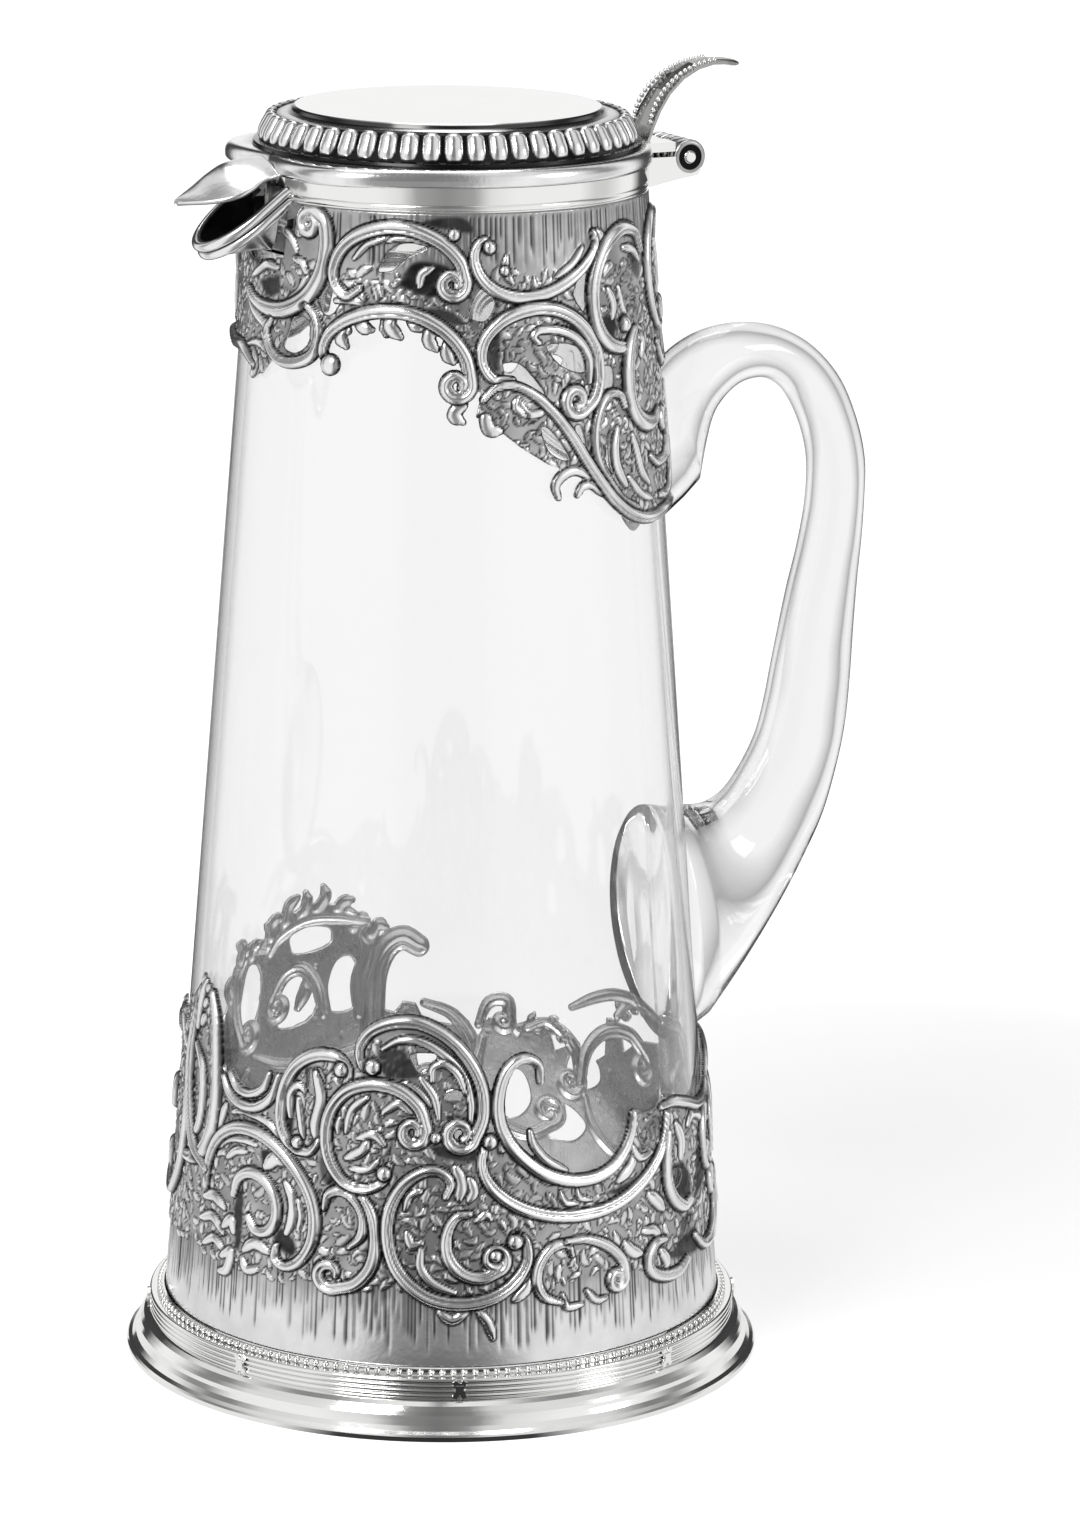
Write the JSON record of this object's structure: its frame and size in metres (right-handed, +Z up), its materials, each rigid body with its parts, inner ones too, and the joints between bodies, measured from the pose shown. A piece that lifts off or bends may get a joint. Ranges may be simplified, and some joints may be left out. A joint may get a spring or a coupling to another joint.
{
  "type": "claret jug",
  "caption": "Tapering clear glass claret jug with a glass loop handle, pierced silver mounts, a short pouring lip and a hinged domed lid with a thumbpiece.",
  "frame": {"origin": "centre of the foot's underside, on the jug's axis", "axes": "+Z up along the jug's axis, +X towards the handle, -X towards the pouring lip"},
  "size_m": [0.1699, 0.1372, 0.2774],
  "materials": {
    "clear_glass": "clear polished glass",
    "silver_plain": "polished silver",
    "silver_chased": "chased silver, darkened in the recesses",
    "plaster": "matt plaster"
  },
  "bodies": {
    "jug": {"glass_body": "clear_glass", "glass_handle": "clear_glass", "base_cement": "plaster", "foot_ring": "silver_plain", "reed_band": "silver_plain", "reed_ties": "silver_plain", "base_beads": "silver_plain", "base_sleeve": "silver_chased", "collar_skirt": "silver_chased", "collar_band": "silver_plain", "neck_cement": "plaster", "spout_lip": "silver_plain", "spout_wire": "silver_plain", "hinge_bracket": "silver_plain", "hinge_pin": "silver_plain"},
    "lid": {"lid_cover": "silver_plain", "gadroon_ring": "silver_plain", "lid_flange": "silver_plain", "lid_bezel": "silver_plain", "lid_beak": "silver_plain", "lid_hinge_leaf": "silver_plain", "thumbpiece": "silver_plain", "thumb_beads": "silver_plain"}
  },
  "joints": [
    {"name": "lid_hinge", "type": "hinge", "parent": "jug", "child": "lid", "pos_m": [0.0535, 0, 0.2571], "axis": [0, 1, 0], "range_deg": [0, 100]}
  ]
}
